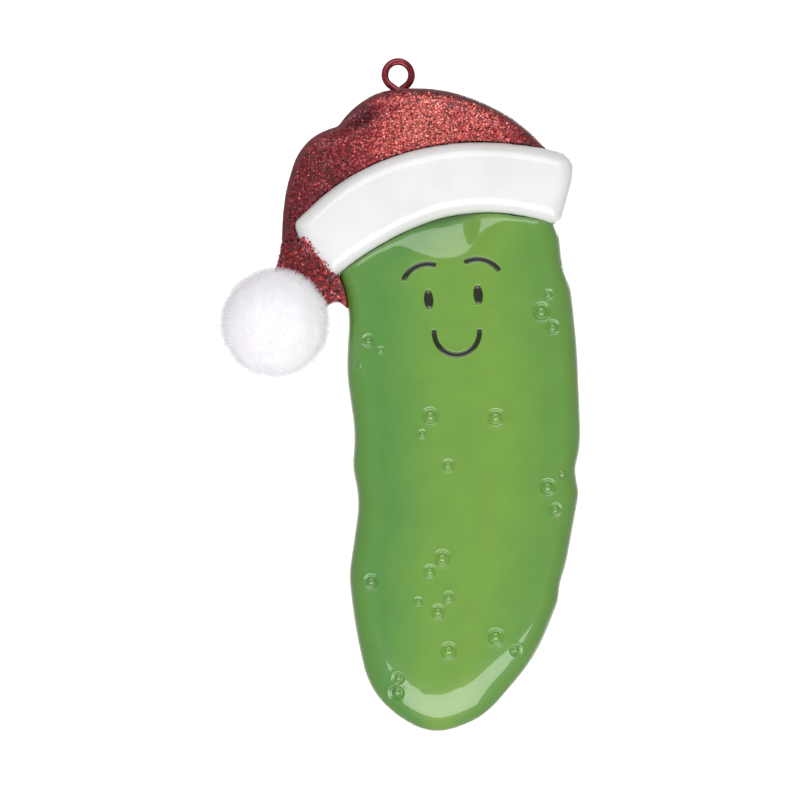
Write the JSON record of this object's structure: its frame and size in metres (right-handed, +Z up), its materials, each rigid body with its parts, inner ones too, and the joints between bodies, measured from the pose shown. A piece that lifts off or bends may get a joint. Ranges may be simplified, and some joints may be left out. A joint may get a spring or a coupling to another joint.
{
  "type": "pickle ornament",
  "caption": "Flat-backed hanging ornament: a smiling pickle in a red winter hat with a white brim, a wire eye at the top and a fibre pom-pom.",
  "frame": {"origin": "middle of the wire eye that the ornament hangs by", "axes": "+Z up as it hangs, +X towards the viewer's right, the figure faces -Y and its flat back faces +Y"},
  "size_m": [0.0573, 0.0208, 0.1077],
  "materials": {
    "green_enamel": "airbrushed green under clear gloss on cast resin",
    "white_enamel": "glossy white enamel on cast resin",
    "red_glitter": "red glitter over dark red paint on cast resin",
    "red_wire": "steel wire with glossy dark red paint",
    "white_fibre": "fluffy white fibre",
    "clear_glue": "set glue",
    "black_enamel": "glossy black enamel"
  },
  "bodies": {
    "root": {"pickle_body": "green_enamel", "hat_brim": "white_enamel", "hat_crown": "red_glitter", "hat_tail": "red_glitter", "hanging_eye": "red_wire", "pom_pom": "white_fibre", "pom_pom_glue": "clear_glue", "left_eye": "black_enamel", "right_eye": "black_enamel", "left_brow": "black_enamel", "right_brow": "black_enamel", "smile": "black_enamel"}
  },
  "joints": []
}
